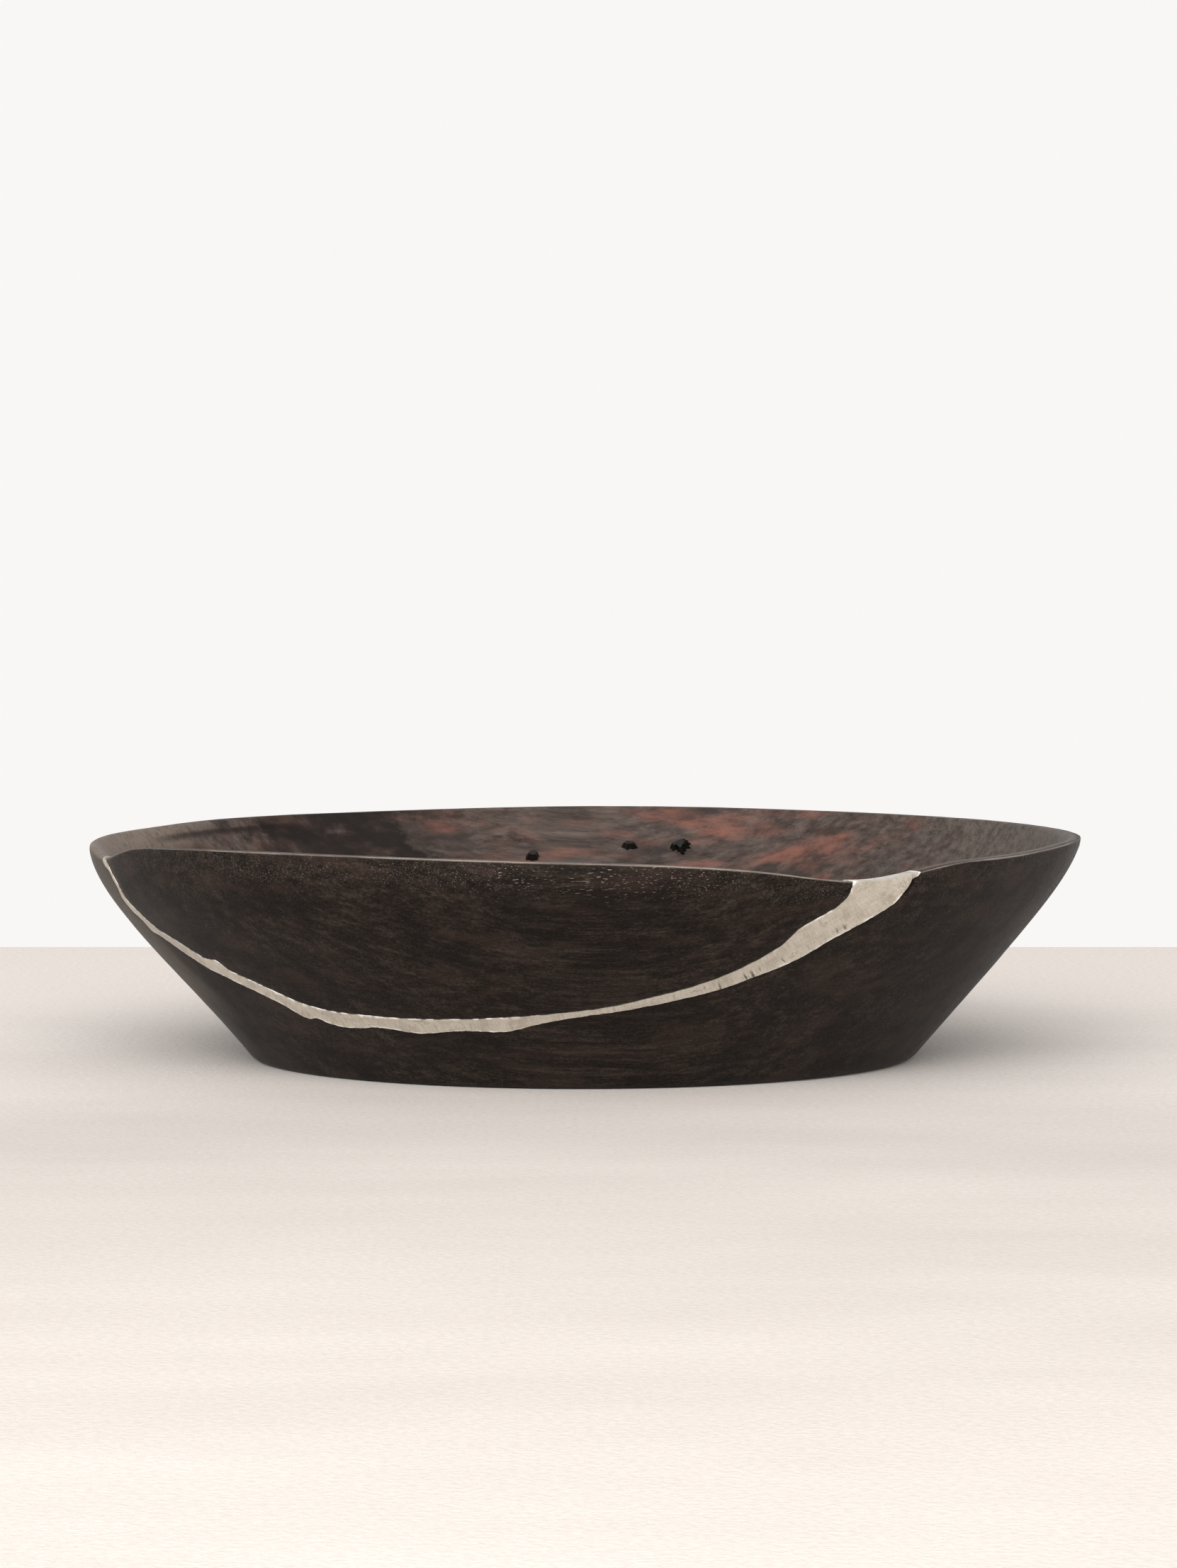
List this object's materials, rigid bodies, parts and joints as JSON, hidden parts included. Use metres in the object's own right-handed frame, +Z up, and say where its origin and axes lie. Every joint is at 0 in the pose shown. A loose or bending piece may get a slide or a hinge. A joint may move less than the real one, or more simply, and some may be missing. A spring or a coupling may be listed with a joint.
{
  "type": "carved wooden bowl",
  "caption": "Wide shallow carved bowl of dark wood, its front split filled from rim to rim with a cast metal band.",
  "frame": {"origin": "on the table, under the middle of the rim's outline", "axes": "+Z up out of the bowl; the split faces -Y, with its wide end towards +X and its narrow end at -X"},
  "size_m": [0.3987, 0.3994, 0.0916],
  "materials": {
    "wood": "ebonised, oiled satin",
    "cast_metal": "cast pewter, filed flush and brushed along its length",
    "knot_resin": "black resin, gloss"
  },
  "bodies": {
    "root": {"bowl_body": "wood", "front_segment": "wood", "metal_seam": "cast_metal", "knot_plug_left": "knot_resin", "knot_plug_middle": "knot_resin", "knot_plug_right": "knot_resin"}
  },
  "joints": []
}
